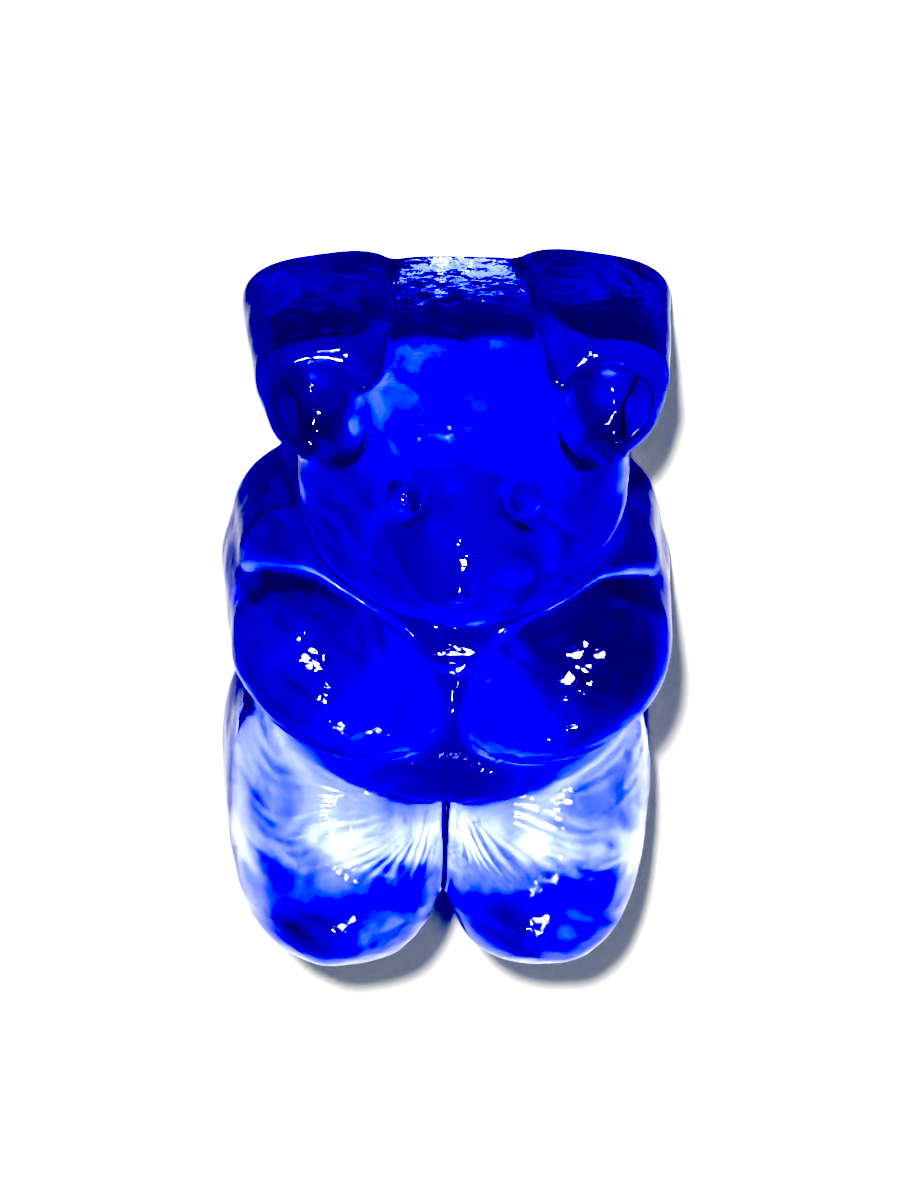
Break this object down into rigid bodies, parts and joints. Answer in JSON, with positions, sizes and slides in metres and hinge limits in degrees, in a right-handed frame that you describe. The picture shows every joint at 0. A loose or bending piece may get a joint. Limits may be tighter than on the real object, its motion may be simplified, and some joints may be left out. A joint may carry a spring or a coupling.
{
  "type": "gummy bear",
  "caption": "Small clear blue jelly sweet shaped as a sitting bear, cast with a flat back, round dished ears, paws folded on its chest and thick legs.",
  "frame": {"origin": "middle of the footprint, on the plane of the flat back that the bear lies on", "axes": "+Y from the feet to the top of the head, +Z out of the face and belly, +X to the bear's own left side"},
  "size_m": [0.0132, 0.022, 0.0093],
  "materials": {
    "jelly": "clear deep blue gelatine jelly, smooth and glossy from a light coat of oil"
  },
  "bodies": {
    "root": {"gummy_bear": "jelly"}
  },
  "joints": []
}
